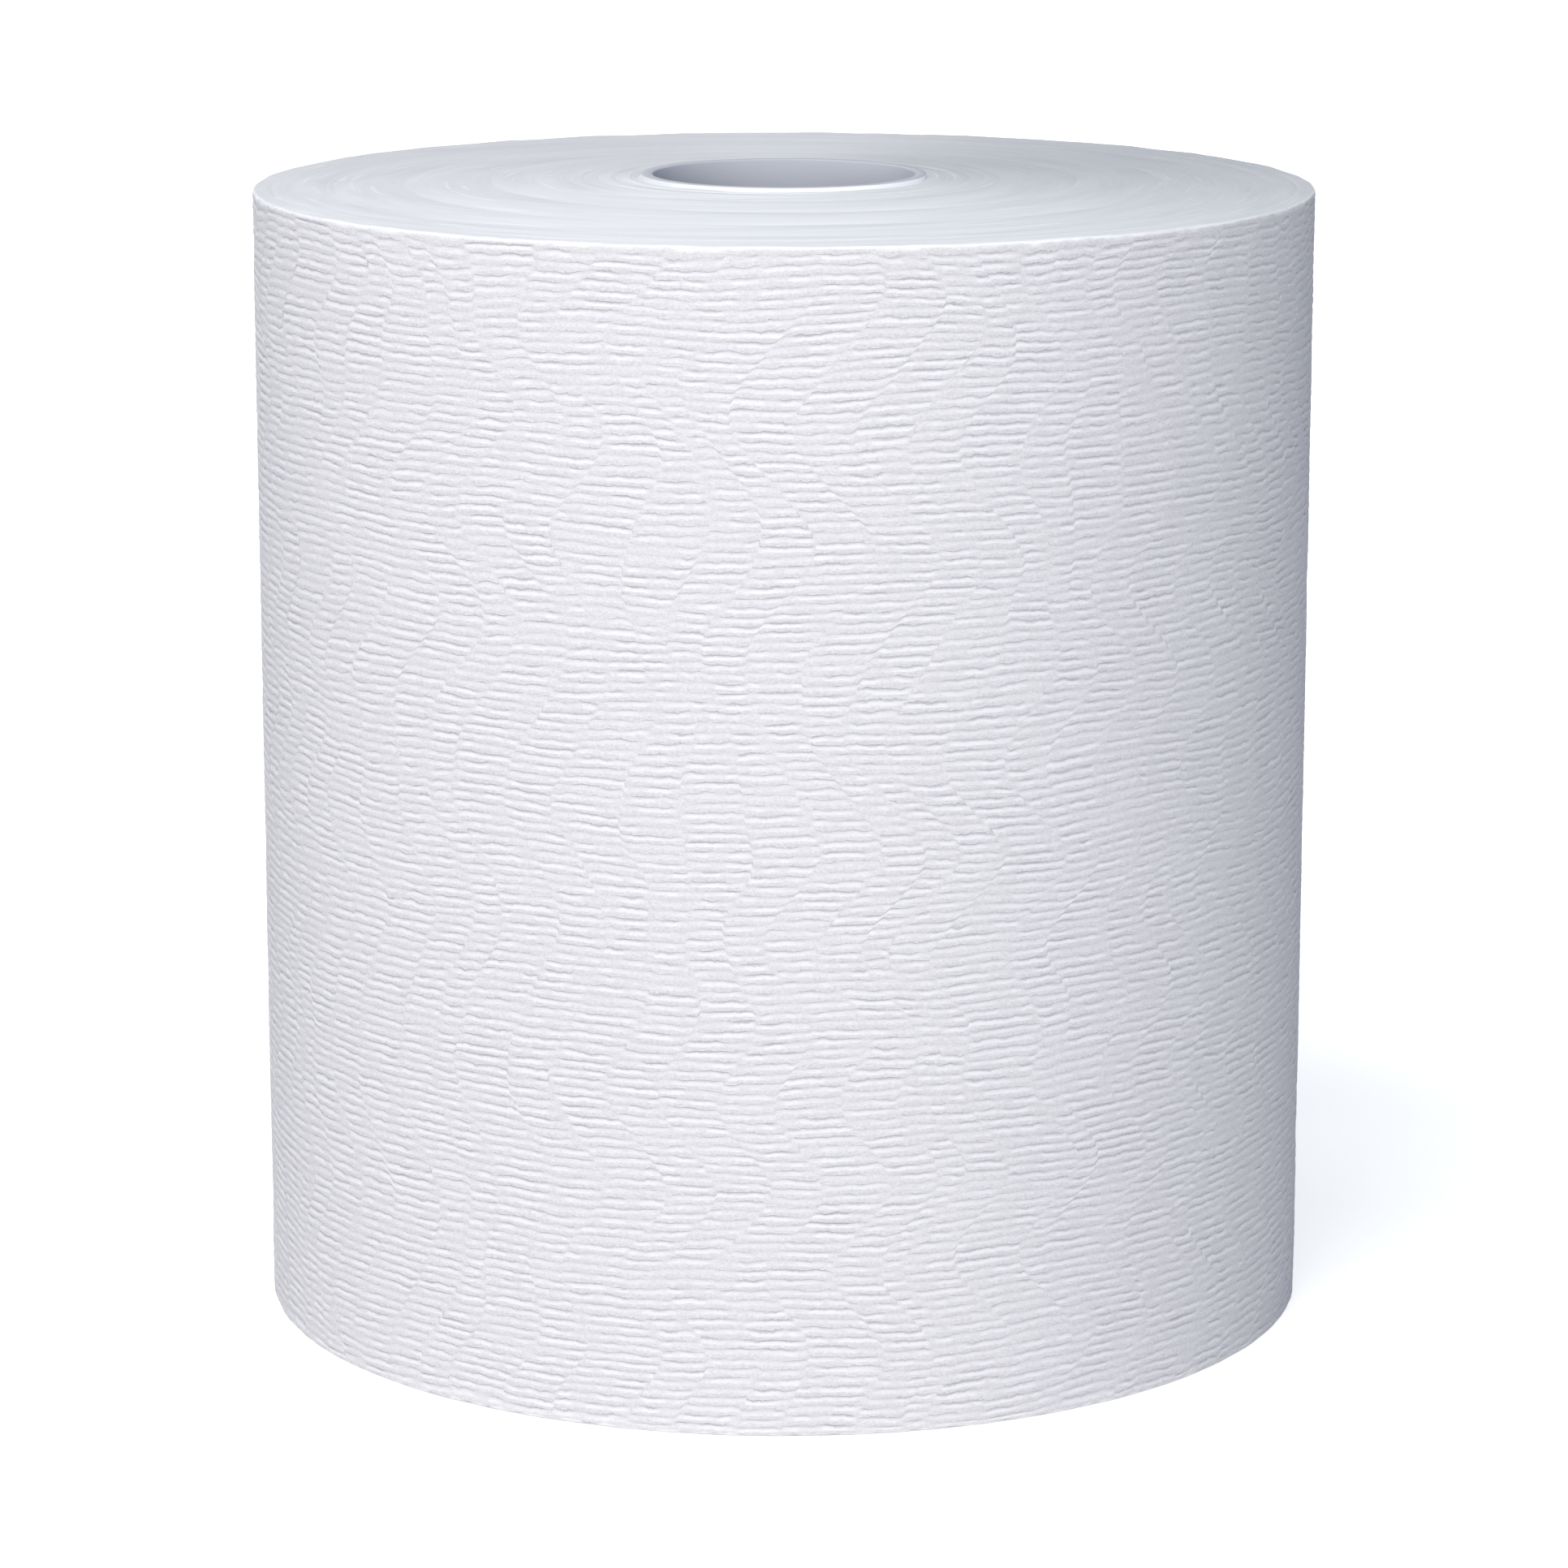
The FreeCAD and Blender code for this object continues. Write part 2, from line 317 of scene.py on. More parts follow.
def break_lines(heights):
    """Where each break is along the sheet, at some heights: an array of height by break.

    Breaks that are neighbours swing much alike. The first and the last line are the two
    sides of the towel's cut edge, which is straight.
    """
    rng = np.random.RandomState(BREAK_SEED)
    number = np.arange(STRIPS + 1)
    home = number * GIRTH / STRIPS + rng.uniform(-HOME_JITTER, HOME_JITTER, STRIPS + 1)
    swing = np.zeros((len(heights), STRIPS + 1))
    for _ in range(SHARED_WAVES):
        turns = rng.randint(-SHARED_TURNS, SHARED_TURNS + 1)
        phase = rng.uniform(0, 2 * math.pi)
        rise = 2 * math.pi * heights[:, None] / rng.uniform(*SHARED_LENGTH)
        swing += SHARED_SWING * np.sin(rise + 2 * math.pi * turns * number / STRIPS + phase)
    for _ in range(OWN_WAVES):
        phase = rng.uniform(0, 2 * math.pi, STRIPS + 1)
        rise = 2 * math.pi * heights[:, None] / rng.uniform(*OWN_LENGTH, STRIPS + 1)
        swing += OWN_SWING * np.sin(rise + phase)
    # A break that ran nearly along the ridges would look like a scratch.
    lean = np.gradient(swing, heights, axis=0)
    lean = MOST_LEAN * np.tanh(lean / MOST_LEAN)
    swing = np.cumsum(lean, axis=0) * (heights[1] - heights[0])
    swing -= swing.mean(axis=0)
    lines = home + swing * eased(np.minimum(home, GIRTH - home) / SWING_FADE_AT_CUT)
    lines[:, 0], lines[:, STRIPS] = 0.0, GIRTH
    for n in range(1, STRIPS):
        lines[:, n] = np.maximum(lines[:, n], lines[:, n - 1] + STRIP_LEAST)
        lines[:, n] = np.minimum(lines[:, n], GIRTH - (STRIPS - n) * STRIP_LEAST)
    # Where a break had to keep clear of the next one it has a kink, and the mesh would fold.
    window = np.ones(KINK_WINDOW) / KINK_WINDOW
    padded = np.pad(lines, ((KINK_WINDOW // 2, KINK_WINDOW // 2), (0, 0)), "edge")
    return np.apply_along_axis(np.convolve, 0, padded, window, "valid")


def strip_shifts(heights):
    """How far up each strip lies, in pitches: an array of height by strip."""
    to_and_fro = SHIFT_TO_AND_FRO * (1 - 2 * (np.arange(STRIPS) % 2))
    rng = np.random.RandomState(SHIFT_SEED)
    length = rng.uniform(*SHIFT_LENGTH, (SHIFT_WAVES, STRIPS))
    phase = rng.uniform(0, 2 * math.pi, (SHIFT_WAVES, STRIPS))
    waves = np.sin(2 * math.pi * heights[:, None, None] / length + phase)
    slow = waves.sum(axis=1) / math.sqrt(SHIFT_WAVES / 2)
    return np.clip(to_and_fro + SHIFT_SPREAD * slow, -SHIFT_MOST, SHIFT_MOST)


def strip_grid(phases):
    """The strips as arrays of row by column: along, and the ridges' relief and shifts.

    Each strip has four columns: both of its ends, and the shoulders where its ridges have
    risen to their full relief.
    """
    heights = phases * RIDGE_PITCH
    dense = np.linspace(0, ROLL_WIDTH, HEIGHTS_PER_RIDGE * RIDGES + 1)
    breaks = break_lines(dense)
    fade = fade_at_rims(heights)

    rng = np.random.RandomState(RIDGE_SEED)
    size = (RIDGES, 2 * STRIPS)
    strength = by_row(np.clip(rng.normal(*RIDGE_STRENGTH, size), *RIDGE_STRENGTH_LIMITS), phases)
    wander = by_row(rng.uniform(-RIDGE_WANDER, RIDGE_WANDER, size), phases)
    taper = by_row(rng.uniform(*TAPER, size), phases)
    left_over = by_row(rng.uniform(*LEFT_AT_END, size), phases)
    shift = strip_shifts(heights)

    along, relief, shifts = [], [], []
    for strip in range(STRIPS):
        first, last = 2 * strip, 2 * strip + 1
        near, far = shift[:, strip] + wander[:, first], shift[:, strip] + wander[:, last]
        near_height, far_height = (heights + fade * own * RIDGE_PITCH for own in (near, far))
        left = np.interp(near_height, dense, breaks[:, strip]) + BREAK_GAP / 2
        right = np.interp(far_height, dense, breaks[:, strip + 1]) - BREAK_GAP / 2
        if strip == 0:
            left = np.zeros(len(heights))
        if strip == STRIPS - 1:
            right = np.full(len(heights), GIRTH)
        reach = TAPER_MOST * (right - left)
        along += [left, left + np.minimum(taper[:, first], reach),
                  right - np.minimum(taper[:, last], reach), right]
        relief += [strength[:, first] * left_over[:, first], strength[:, first],
                   strength[:, last], strength[:, last] * left_over[:, last]]
        shifts += [near, near, far, far]
    along, relief, shifts = (np.stack(part, axis=1) for part in (along, relief, shifts))
    # The ridges run right up to both sides of the cut edge.
    relief[:, 0], relief[:, -1] = relief[:, 1], relief[:, -2]
    return along, relief, shifts


def side_grid():
    """The towel's side: along, up and outward by row and column, the phases, the relief."""
    phases, insets = ridge_rows()
    along, relief, shifts = strip_grid(phases)
    heights = (phases * RIDGE_PITCH)[:, None]
    wave = smooth_waves(*RIDGE_WAVES)(along, heights)
    moved = shifts * RIDGE_PITCH + WAVE_HEIGHT * wave
    up = heights + fade_at_rims(heights) * moved
    swell = smooth_waves(*SWELL_WAVES)(along, heights)
    inward = FLAT_LEVEL + relief * (insets[:, None] - FLAT_LEVEL)
    inward = inward * RIDGE_RELIEF + SWELL_DEPTH * (1 - np.clip(swell, -1, 1))
    inward = np.maximum(inward, 0)

    depth = np.clip(RIM_ROUND - from_rim(heights), 0, RIM_ROUND)
    inward = inward + RIM_ROUND - np.sqrt(RIM_ROUND**2 - depth**2)
    spiral = ROLL_RADIUS - SHEET * along / GIRTH

    # The rim's own line is not quite straight.
    waver = smooth_waves(*RIM_WAVES)
    for near, sign, share in ((heights, 1, LOWER_RIM_SHARE), (ROLL_WIDTH - heights, -1, 1.0)):
        uneven = np.clip(waver(along, sign * RIM_WAVER_PLACE), -1, 1)
        dip = share * RIM_WAVER * (0.5 + 0.5 * uneven)
        up = up + sign * dip * eased(1 - near / RIM_WAVER_DEPTH)
    return along, up, spiral - inward, phases, relief


def end_rise(radius):
    """How far an end has slid up the roll at a radius: not at all on the land at the rim."""
    share = (LAND_RADIUS - radius) / (LAND_RADIUS - CORE_OUTSIDE_RADIUS)
    return WEB_RISE * np.clip(share, 0, 1)


def end_bands():
    """Radii of an end's rings of points, from rim to core, and how deep each lies."""
    inner, outer = CORE_OUTSIDE_RADIUS, ROLL_RADIUS
    edges = list(CORE_BAND_EDGES + RIM_BAND_EDGES)
    for number in range(1, CAD_RINGS + 1):
        share = math.cos(math.pi * number / (CAD_RINGS + 1))
        edges.append((inner + outer) / 2 - (outer - inner) / 2 * share)
    rng = np.random.RandomState(BAND_SEED)
    radii, depths, level = [], [], 0.0
    previous = outer - RIM_ROUND
    for edge in sorted(edges, reverse=True) + [inner]:
        gap = previous - edge
        steps = max(1, int(gap // RING_SPACING))
        radii += [previous - gap * step / (steps + 1) for step in range(1, steps + 1)]
        depths += [level] * steps
        if edge == inner:
            break
        near_core = math.exp((inner - edge) / CORE_REACH)
        cut = GROOVE_DEPTH * rng.uniform(*GROOVE_SHARES) * (1 + DEEPER_AT_CORE * near_core)
        new_level = rng.uniform(0.0, BAND_STEP + BAND_STEP_AT_CORE * near_core)
        radii += [edge + GROOVE_HALF_WIDTH, edge, edge - GROOVE_HALF_WIDTH]
        depths += [level, max(level, new_level) + cut, new_level]
        level = new_level
        previous = edge - GROOVE_HALF_WIDTH
    radii += [inner + CORE_GAP_WIDTH, inner + CORE_GAP_WIDTH / 2, inner]
    depths += [level, level + CORE_GAP_DEPTH / 3, level + CORE_GAP_DEPTH]
    return np.array(radii), np.array(depths)


def placed(along, up, outward):
    """Points of the unrolled sheet, in millimetres, wound round the axis, in metres."""
    angle = TAIL_ANGLE + along / ROLL_RADIUS
    points = np.stack([outward * np.cos(angle), outward * np.sin(angle), up], axis=-1)
    return points * MM


def wrapped_quads(rows, columns):
    """The faces of a grid round the roll, whose rows go up the side or in across the top."""
    row, column = np.meshgrid(np.arange(rows - 1), np.arange(columns), indexing="ij")
    after = (column + 1) % columns
    return np.stack(
        [row * columns + column, row * columns + after,
         (row + 1) * columns + after, (row + 1) * columns + column], axis=-1
    ).reshape(-1, 4)


def new_piece(name, points, faces, finish, stands_for):
    """A smooth mesh in the roll's own frame, which stands for one solid of the model."""
    mesh = bpy.data.meshes.new(name)
    mesh.from_pydata(points.reshape(-1, 3).tolist(), [], faces.tolist())
    mesh.materials.append(finish)
    mesh.shade_smooth()
    mesh.update()
    piece = bpy.data.objects.new(name, mesh)
    bpy.context.scene.collection.objects.link(piece)
    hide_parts(stands_for)
    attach(piece, "root")
    return piece


def sharpen_cut_edge(mesh, columns):
    """Keeps the step at the towel's cut edge crisp: the edges on both sides of it are sharp."""
    ends = np.empty(len(mesh.edges) * 2, int)
    mesh.edges.foreach_get("vertices", ends)
    first, second = ends.reshape(-1, 2).T % columns
    sharp = (first == second) & ((first == 0) | (first == columns - 1))
    mesh.edges.foreach_set("use_edge_sharp", sharp)


def make_side(grid, finish):
    """The towel's side, with its ridges and the step at its cut edge."""
    along, up, outward, phases, relief = grid
    rows, columns = along.shape
    faces = wrapped_quads(rows, columns)
    side = new_piece("towel_side", placed(along, up, outward), faces, finish,
                     "towel_web")
    sharpen_cut_edge(side.data, columns)
    # Where each point is on the sheet: along it in ridge pitches, and up it in ridges.
    places = np.stack([along / RIDGE_PITCH, np.broadcast_to(phases[:, None], along.shape)], -1)
    side.data.uv_layers.new(name="sheet").data.foreach_set(
        "uv", places.reshape(-1, 2)[faces].ravel().astype(np.float32)
    )
    depth = side.data.attributes.new("relief", "FLOAT", "POINT")
    depth.data.foreach_set("value", relief.ravel().astype(np.float32))


def make_end(grid, finish, name, row, base, inward):
    """One end of the towel: rings of points from the rim, at `row` of the side, to the core.

    `base` is the height of the land at the rim, and `inward` the way into the roll, 1 for up.
    """
    along, up, outward, _, _ = grid
    rim_along, rim_up, rim_radius = along[row], up[row], outward[row]
    uneven = smooth_waves(*BAND_WAVES)
    rings = [placed(rim_along, rim_up, rim_radius)]
    for radius, depth in zip(*end_bands()):
        blend = eased((rim_radius - radius) / END_BLEND)
        wobble = np.clip(uneven(rim_along, radius * BAND_WAVE_STRETCH), -1, 1)
        deep = depth * (1 + BAND_UNEVENNESS * wobble)
        level = base + end_rise(radius) + inward * deep
        height = rim_up * (1 - blend) + level * blend
        rings.append(placed(rim_along, height, np.full(len(rim_along), radius)))
    if inward > 0:
        rings.reverse()
    end = new_piece(name, np.stack(rings), wrapped_quads(len(rings), len(rim_along)), finish,
                    "towel_web")
    sharpen_cut_edge(end.data, len(rim_along))


def make_towel(side_finish, end_finish):
    """The towel as its side and its two ends, which meet at the rims."""
    grid = side_grid()
    make_side(grid, side_finish)
    make_end(grid, end_finish, "towel_lower_end", 0, 0.0, 1)
    make_end(grid, end_finish, "towel_upper_end", -1, ROLL_WIDTH, -1)


def core_profile():
    """The core's section as radius, height and finish, up the bore and down the outside."""
    bore, outside = CORE_BORE_RADIUS, CORE_OUTSIDE_RADIUS
    bottom = WEB_RISE + CORE_PROUD
    top = bottom + ROLL_WIDTH
    heights = np.linspace(bottom + CORE_EDGE, top - CORE_EDGE, CORE_ROWS)
    return [(bore, z, "liner") for z in heights] + [
        (bore + CORE_EDGE * CORNER, top - CORE_EDGE * CORNER, "edge"),
        (bore + CORE_EDGE, top, "edge"),
        ((bore + outside) / 2, top - CORE_EDGE_DISH, "edge"),
        (outside - CORE_PLY, top, "edge"),
        (outside, top - CORE_PLY, "outer_ply"),
        (outside, bottom + CORE_EDGE, "edge"),
        (outside - CORE_EDGE, bottom, "edge"),
        (bore + CORE_EDGE, bottom, "edge"),
    ]


def make_core(finishes):
    """The core tube: both cut edges, the bore with the seam of its ply, and its outside."""
    profile = core_profile()
    top = max(height for _, height, _ in profile)
    # Three columns draw the seam as a narrow groove that climbs the bore, in place of the
    # three even ones there.
    around = 2 * math.pi * CORE_BORE_RADIUS
    seam = [-CORE_SEAM_HALF_WIDTH, 0.0, CORE_SEAM_HALF_WIDTH]
    even = np.linspace(0, around, CORE_COLUMNS, endpoint=False)[2:-1]
    places = np.array(seam + list(even))
    points = []
    for radius, height, _ in profile:
        turn = CORE_SEAM_END + (height - top) / CORE_PLY_RISE * 2 * math.pi
        angle = places / CORE_BORE_RADIUS + turn
        far = np.full(len(places), radius)
        if radius == CORE_BORE_RADIUS:
            far[1] += CORE_SEAM_DEPTH
        points.append(np.stack([far * np.cos(angle), far * np.sin(angle),
                                np.full(len(places), height)], axis=-1))
    columns, total = len(places), len(profile)
    row, column = np.meshgrid(np.arange(total), np.arange(columns), indexing="ij")
    above, after = (row + 1) % total, (column + 1) % columns
    faces = np.stack([row * columns + column, above * columns + column,
                      above * columns + after, row * columns + after], axis=-1).reshape(-1, 4)
    core = new_piece("core_tube_dressed", np.stack(points) * MM, faces, finishes["liner"],
                     "core_tube")
    core.data.materials.append(finishes["edge"])
    core.data.materials.append(finishes["outer_ply"])
    order = list(finishes)
    indices = [order.index(profile[face // columns][2]) for face in range(len(faces))]
    core.data.polygons.foreach_set("material_index", indices)
    return core


def add(tree, kind, settings=None, **links):
    """Adds a shader node, with its settings, and its inputs as values or as other sockets.

    An input is named as in the panel, with _ for a space, or in_0, in_1 by its number.
    """
    node = tree.nodes.new("ShaderNode" + kind)
    for name, value in (settings or {}).items():
        setattr(node, name, value)
    for name, value in links.items():
        key = int(name[3:]) if name.startswith("in_") else name.replace("_", " ")
        socket = node.inputs[key]
        if isinstance(value, bpy.types.NodeSocket):
            tree.links.new(value, socket)
        else:
            socket.default_value = value
    return node


def maths(tree, operation, *values, clamp=False):
    """The result of a maths node."""
    links = {f"in_{place}": value for place, value in enumerate(values)}
    settings = {"operation": operation, "use_clamp": clamp}
    return add(tree, "Math", settings, **links).outputs[0]


def vector_maths(tree, operation, *values, **links):
    """The vector that a vector maths node gives."""
    links.update({f"in_{place}": value for place, value in enumerate(values)})
    return add(tree, "VectorMath", {"operation": operation}, **links).outputs[0]


def length_of(tree, vector):
    """The length of a vector."""
    return add(tree, "VectorMath", {"operation": "LENGTH"}, in_0=vector).outputs["Value"]


def noise(tree, place, size, **links):
    """Even noise whose clumps are about `size` across, in the unit of `place`."""
    return add(tree, "TexNoise", Vector=place, Scale=1 / size, **links).outputs[0]


def smooth_step(tree, value, start, end, first=0.0, last=1.0):
    """Goes smoothly from `first` to `last` while a value goes from `start` to `end`."""
    return add(tree, "MapRange", {"interpolation_type": "SMOOTHSTEP"}, Value=value,
               From_Min=start, From_Max=end, To_Min=first, To_Max=last).outputs[0]


def mixed(tree, share, low, high):
    """A colour between two others, which are sockets or hex colours."""
    low, high = (linear(colour) if isinstance(colour, str) else colour for colour in (low, high))
    return add(tree, "Mix", {"data_type": "RGBA"}, in_0=share, in_6=low, in_7=high).outputs[2]


def new_material(name):
    material = bpy.data.materials.new(name)
    material.use_nodes = True
    material.node_tree.nodes.clear()
    return material, material.node_tree


def ridge_lines(tree, fibres):
    """The fine lines between the ridges, each of which wanders and fades out by itself.

    Gives how far a place is above the nearest line, in pitches, and how strong the line is
    there. Then the slow wander, and the place's own height, in pitches.
    """
    sheet = add(tree, "UVMap", {"uv_map": "sheet"})
    split = add(tree, "SeparateXYZ", Vector=sheet.outputs[0])
    along, phase = split.outputs[0], split.outputs[1]
    line = maths(tree, "ROUND", phase)
    row = maths(tree, "MULTIPLY", line, LINES_APART)
    where = add(tree, "CombineXYZ", X=along, Y=row).outputs[0]
    wander, fading = (
        add(tree, "TexNoise", {"noise_dimensions": "2D"}, Vector=where,
            Scale=RIDGE_PITCH / length, Detail=1.0).outputs[0]
        for length in (WANDER_LENGTH, DASH_LENGTH)
    )
    above = maths(tree, "SUBTRACT", phase, line)
    above = maths(tree, "MULTIPLY_ADD", fibres, LINE_RAGGED, above)
    above = maths(tree, "MULTIPLY_ADD", wander, LINE_WANDER, above)
    # Both noises are 0.5 on the whole, and that is taken off again.
    above = maths(tree, "SUBTRACT", above, (LINE_RAGGED + LINE_WANDER) / 2)
    dash = smooth_step(tree, fading, *DASH_RANGE, FAINTEST_LINE, 1.0)
    relief = add(tree, "Attribute", {"attribute_name": "relief"}).outputs["Fac"]
    return above, maths(tree, "MULTIPLY", dash, relief), wander, phase


def painted_rim_highlight(tree, phase, wander):
    """Where the cut rims get their painted highlight: 1 along both cut rims of the side, with a
    frayed border, and 0 between them.
    """
    from_top = maths(tree, "SUBTRACT", float(RIDGES), phase)
    nearer = maths(tree, "MINIMUM", from_top, phase)
    frayed = maths(tree, "MULTIPLY_ADD", wander, -RIM_FRAY, nearer)
    return smooth_step(tree, frayed, -RIM_BORDER, RIM_BORDER, 1.0, 0.0)


def creped_tissue():
    """Bleached tissue, moulded into ridges on a fabric and dried.

    It gives the eye a matt, soft white with no gloss, short ragged ridges with a thin dark
    line under each, partly painted shade, a painted highlight on the lip below it and along the
    cut rims, and a fine fibrous grain.
    """
    material, tree = new_material("creped_towel_tissue")
    place = add(tree, "TexCoord").outputs["Object"]
    # Fibres lie mostly along the sheet, so their clumps are longer than they are high.
    clumps = add(tree, "Mapping", Vector=place, Scale=(1.0, 1.0, 2.0)).outputs[0]
    fibres = noise(tree, clumps, FIBRE_CLUMP * MM, Detail=2.0, Roughness=0.75)
    low, high = SPECKLE_RANGE
    speckle = add(tree, "MapRange", Value=fibres, From_Min=low, From_Max=high).outputs[0]
    colour = mixed(tree, speckle, *TISSUE_COLOURS)

    above, strength, wander, phase = ridge_lines(tree, fibres)
    from_line = maths(tree, "ABSOLUTE", above)
    line = smooth_step(tree, from_line, 0.0, LINE_HALF_WIDTH, 1.0, 0.0)
    groove = maths(tree, "MULTIPLY", line, strength)
    height = maths(tree, "MULTIPLY_ADD", fibres, -FIBRE_RISE, groove)
    bump = add(tree, "Bump", {"invert": True}, Strength=1.0, Distance=LINE_DEPTH * MM,
               Height=height).outputs[0]

    # Painted highlight: a paler band on the raised lip of fibres on the ridge below the line,
    # where it catches the light.
    from_lip_highlight = maths(tree, "ABSOLUTE", maths(tree, "ADD", above, LIP_HIGHLIGHT_PLACE))
    lip_highlight = smooth_step(tree, from_lip_highlight, *LIP_HIGHLIGHT_WIDTHS, 1.0, 0.0)
    colour = mixed(tree, maths(tree, "MULTIPLY", lip_highlight, strength, clamp=True), colour, LIP_PAINTED_HIGHLIGHT)
    # Painted shade: the line is darkened, as less light gets into it.
    colour = mixed(tree, groove, colour, LINE_PAINTED_SHADE)
    # Painted highlight along both cut rims, where loose fibres stand up and catch the light.
    colour = mixed(tree, painted_rim_highlight(tree, phase, wander), colour, WHITE)
    shader = add(tree, "BsdfPrincipled", Base_Color=colour, Roughness=0.92,
                 Specular_IOR_Level=0.2, Normal=bump)
    add(tree, "OutputMaterial", Surface=shader.outputs[0])
    return material


def ring_place(tree, place, radius, drift):
    """A place for noise that is drawn out into rings, a little out of round by `drift`."""
    on_ring = add(tree, "CombineXYZ", X=radius).outputs[0]
    moved = add(tree, "Mapping", Vector=place, Scale=(drift, drift, 0.0)).outputs[0]
    return vector_maths(tree, "ADD", on_ring, moved)


def leaning_outwards(tree, flat):
    """The surface's normal, leaned outwards from the axis, as the knife leaves a cut edge."""
    outward = vector_maths(tree, "NORMALIZE", flat)
    turned = add(tree, "VectorTransform", {"vector_type": "VECTOR", "convert_from": "OBJECT",
                                           "convert_to": "WORLD"}, in_0=outward).outputs[0]
    leaning = vector_maths(tree, "SCALE", turned, Scale=EDGE_LEAN)
    facing = add(tree, "NewGeometry").outputs["Normal"]
    return vector_maths(tree, "NORMALIZE", vector_maths(tree, "ADD", leaning, facing))


def wound_edges():
    """The cut edges of some 330 turns of tissue, pressed together by the winding.

    They give the eye a fine grain of rings, smooth along the rings and rough across them,
    so that the light lies on them in a soft fan.
    """
    material, tree = new_material("wound_tissue_edges")
    place = add(tree, "TexCoord").outputs["Object"]
    split = add(tree, "SeparateXYZ", Vector=place)
    flat = add(tree, "CombineXYZ", X=split.outputs[0], Y=split.outputs[1]).outputs[0]
    radius = length_of(tree, flat)
    # Turns are 0.21 mm apart, which is too fine to show, so the rings are coarser.
    turn = ring_place(tree, place, radius, RING_DRIFT)
    band = ring_place(tree, place, radius, BAND_DRIFT)
    turns = noise(tree, turn, RING_GRAIN * MM, Detail=2.0, Roughness=0.7)
    bands = noise(tree, band, BAND_GRAIN * MM, Detail=3.0)
    colour = mixed(tree, maths(tree, "MULTIPLY_ADD", turns, RING_SHARE, bands), *END_COLOURS)
    # Painted highlight: here and there a turn stands a little out of the rest, and the light on it
    # is painted as a short pale streak.
    proud = noise(tree, turn, STREAK_GRAIN * MM, Detail=1.0)
    streak_highlight = smooth_step(tree, proud, *STREAK_HIGHLIGHT_RANGE, 0.0, STREAK_HIGHLIGHT_MOST)
    colour = mixed(tree, streak_highlight, colour, WHITE)
    bump = add(tree, "Bump", Strength=0.8, Distance=RING_DEPTH * MM, Height=turns,
               Normal=leaning_outwards(tree, flat)).outputs[0]
    around = add(tree, "Tangent", {"direction_type": "RADIAL", "axis": "Z"}).outputs[0]
    shader = add(tree, "BsdfPrincipled", Base_Color=colour, Roughness=0.55,
                 Specular_IOR_Level=0.15, Anisotropic=0.8, Tangent=around, Normal=bump)
    add(tree, "OutputMaterial", Surface=shader.outputs[0])
    return material


def board(name, colour, roughness):
    """Paperboard, wound from plies and glued. It gives the eye a matt, even grey or white."""
    material, tree = new_material(name)
    place = add(tree, "TexCoord").outputs["Object"]
    fibres = noise(tree, place, BOARD_FIBRE * MM, Detail=3.0)
    bump = add(tree, "Bump", Strength=0.2, Distance=BOARD_FIBRE_RISE * MM,
               Height=fibres).outputs[0]
    shader = add(tree, "BsdfPrincipled", Base_Color=linear(colour), Roughness=roughness,
                 Specular_IOR_Level=0.3, Normal=bump)
    add(tree, "OutputMaterial", Surface=shader.outputs[0])
    return material


def make_camera():
    """The photograph's view: level with the roll, a little above it, from the front."""
    data = bpy.data.cameras.new("camera")
    data.sensor_width = 36.0
    data.lens = LENS
    data.clip_start, data.clip_end = 0.05, 20.0
    camera = bpy.data.objects.new("camera", data)
    camera.location = CAMERA_PLACE
    camera.rotation_euler = (math.pi / 2 - CAMERA_DIP, 0.0, 0.0)
    bpy.context.scene.collection.objects.link(camera)
    bpy.context.scene.camera = camera


def area_light(name, azimuth, elevation, distance, size, level, colour):
    """A square soft light, placed by its direction from the roll: azimuth 0 is the front.

    At a level of 1 it alone would show a surface that faces it, at the middle of the roll,
    in that surface's own colour.
    """
    data = bpy.data.lights.new(name, "AREA")
    data.size = size
    data.energy = level * math.pi**2 * distance**2
    data.color = linear(colour)[:3]
    light = bpy.data.objects.new(name, data)
    turn, rise = math.radians(azimuth), math.radians(elevation)
    away = Vector((math.sin(turn) * math.cos(rise), -math.cos(turn) * math.cos(rise),
                   math.sin(rise)))
    light.location = Vector((0, 0, ROLL_WIDTH * MM / 2)) + away * distance
    light.rotation_euler = away.to_track_quat("Z", "Y").to_euler()
    bpy.context.scene.collection.objects.link(light)


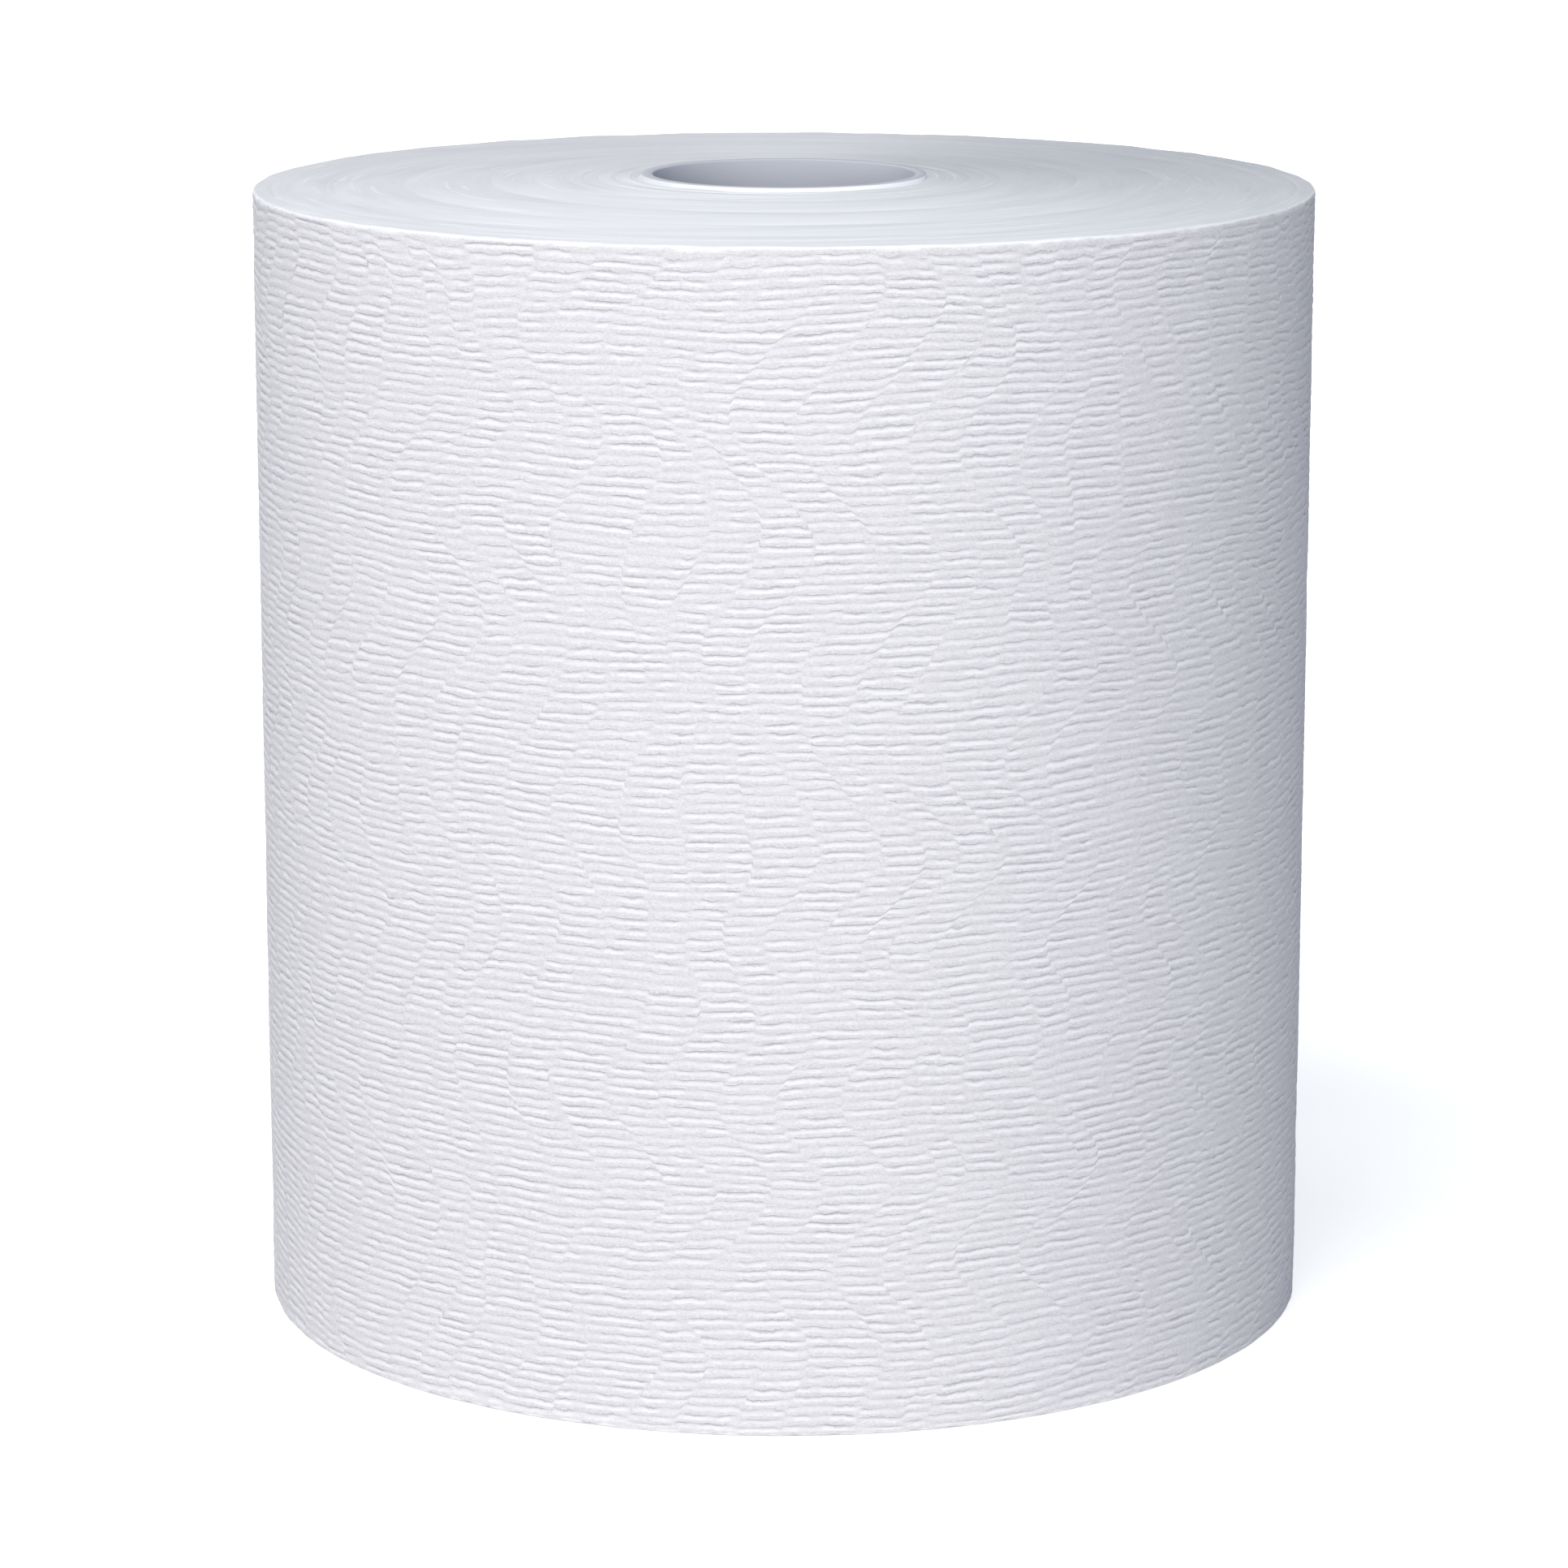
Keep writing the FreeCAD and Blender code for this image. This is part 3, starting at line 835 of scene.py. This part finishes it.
def make_floor():
    """A white floor that keeps the roll's shadow and fades into the white behind it."""
    bpy.ops.mesh.primitive_plane_add(size=FLOOR_SIZE, location=(0, 0, 0))
    floor = bpy.context.object
    floor.name = "floor"
    material, tree = new_material("studio_floor")
    place = add(tree, "TexCoord").outputs["Object"]
    glow = smooth_step(tree, length_of(tree, place), *FLOOR_GLOW_REACH, *FLOOR_GLOW)
    seen = add(tree, "LightPath").outputs["Is Camera Ray"]
    dull, bright = (
        add(tree, "BsdfDiffuse", Color=(grey, grey, grey, 1)).outputs[0]
        for grey in (FLOOR_GREY, FLOOR_GREY_SEEN)
    )
    glowing = add(tree, "Emission", Color=(1, 1, 1, 1), Strength=glow).outputs[0]
    shown = add(tree, "AddShader", in_0=bright, in_1=glowing).outputs[0]
    mix = add(tree, "MixShader", in_0=seen, in_1=dull, in_2=shown)
    add(tree, "OutputMaterial", Surface=mix.outputs[0])
    floor.data.materials.append(material)


def make_world():
    """Even light from all round, and plain white wherever the camera sees past the floor."""
    world = bpy.data.worlds.new("studio")
    bpy.context.scene.world = world
    world.use_nodes = True
    tree = world.node_tree
    tree.nodes.clear()
    path = add(tree, "LightPath").outputs
    seen = maths(tree, "MAXIMUM", path["Is Camera Ray"], path["Is Glossy Ray"])
    seen = maths(tree, "MAXIMUM", seen, path["Is Transmission Ray"])
    fill = add(tree, "Background", Color=linear(WORLD_COLOUR), Strength=WORLD_LEVEL).outputs[0]
    white = add(tree, "Background", Color=(1, 1, 1, 1), Strength=1.0).outputs[0]
    mix = add(tree, "MixShader", in_0=seen, in_1=fill, in_2=white)
    add(tree, "OutputWorld", Surface=mix.outputs[0])


make_camera()
make_towel(creped_tissue(), wound_edges())
make_core({
    "liner": board("core_board_liner", BOARD_GREY, 0.8),
    "edge": board("core_board_cut_edge", BOARD_EDGE, 0.9),
    "outer_ply": board("core_board_outer_ply", OUTER_PLY, 0.8),
})
make_floor()
make_world()
for light, settings in LIGHTS.items():
    area_light(light, *settings)
# The light from behind would show as a bright patch on the ends.
bpy.data.objects["back_fill"].visible_glossy = False

bpy.context.scene.view_settings.view_transform = "Standard"
